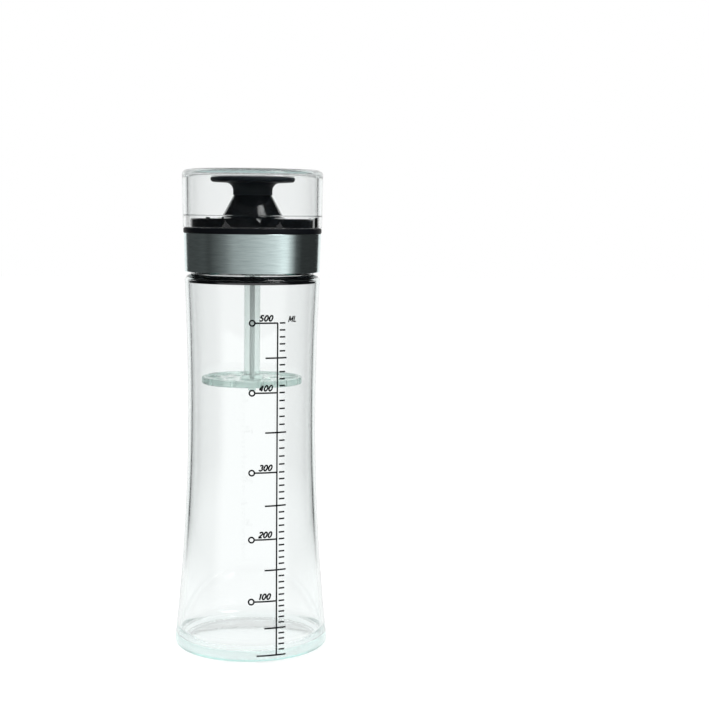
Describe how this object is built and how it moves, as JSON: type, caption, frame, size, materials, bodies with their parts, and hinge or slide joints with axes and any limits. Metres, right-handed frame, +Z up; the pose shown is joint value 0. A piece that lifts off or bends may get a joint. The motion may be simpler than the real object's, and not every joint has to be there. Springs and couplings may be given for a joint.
{
  "type": "salad dressing shaker bottle",
  "caption": "Waisted glass bottle with a push-in pourer head, a plunger with a perforated mixing disc, a steel collar and a clear lift-off cap.",
  "frame": {"origin": "centre of the ring that the bottle stands on", "axes": "+Z up along the bottle's axis, -Y towards the front with the printed scale, +X to the right of it"},
  "size_m": [0.0763, 0.0762, 0.2376],
  "materials": {
    "clear_glass": "clear",
    "clear_plastic": "clear",
    "brushed_steel": "brushed",
    "polished_steel": "satin",
    "black_plastic": "matte",
    "gloss_black_plastic": "gloss",
    "soft_touch_black": "soft touch",
    "black_silicone": "satin",
    "white_plastic": "matte",
    "brass": "machined"
  },
  "bodies": {
    "bottle": {"glass_bottle": "clear_glass"},
    "head": {"steel_collar": "brushed_steel", "collar_liner": "black_plastic", "cap_gasket": "black_silicone", "pourer_deck": "gloss_black_plastic", "plug_sleeve": "clear_plastic", "lip_seal": "black_silicone", "upper_bush": "white_plastic", "lower_bush": "white_plastic", "rod_wiper": "black_silicone"},
    "plunger": {"knob": "soft_touch_black", "knob_insert": "brass", "rod_core": "polished_steel", "rod_sleeve": "clear_plastic", "mixer_disc": "clear_plastic", "hub_nut": "clear_plastic"},
    "cap": {"clear_cap": "clear_plastic"}
  },
  "joints": [
    {"name": "head_lift", "type": "slide", "parent": "bottle", "child": "head", "axis": [0, 0, 1], "range_m": [0, 0.09], "deforming": ["lip_seal"]},
    {"name": "plunger_pull", "type": "slide", "parent": "head", "child": "plunger", "axis": [0, 0, 1], "range_m": [0, 0.044]},
    {"name": "cap_lift", "type": "slide", "parent": "plunger", "child": "cap", "axis": [0, 0, 1], "range_m": [0, 0.04]}
  ]
}
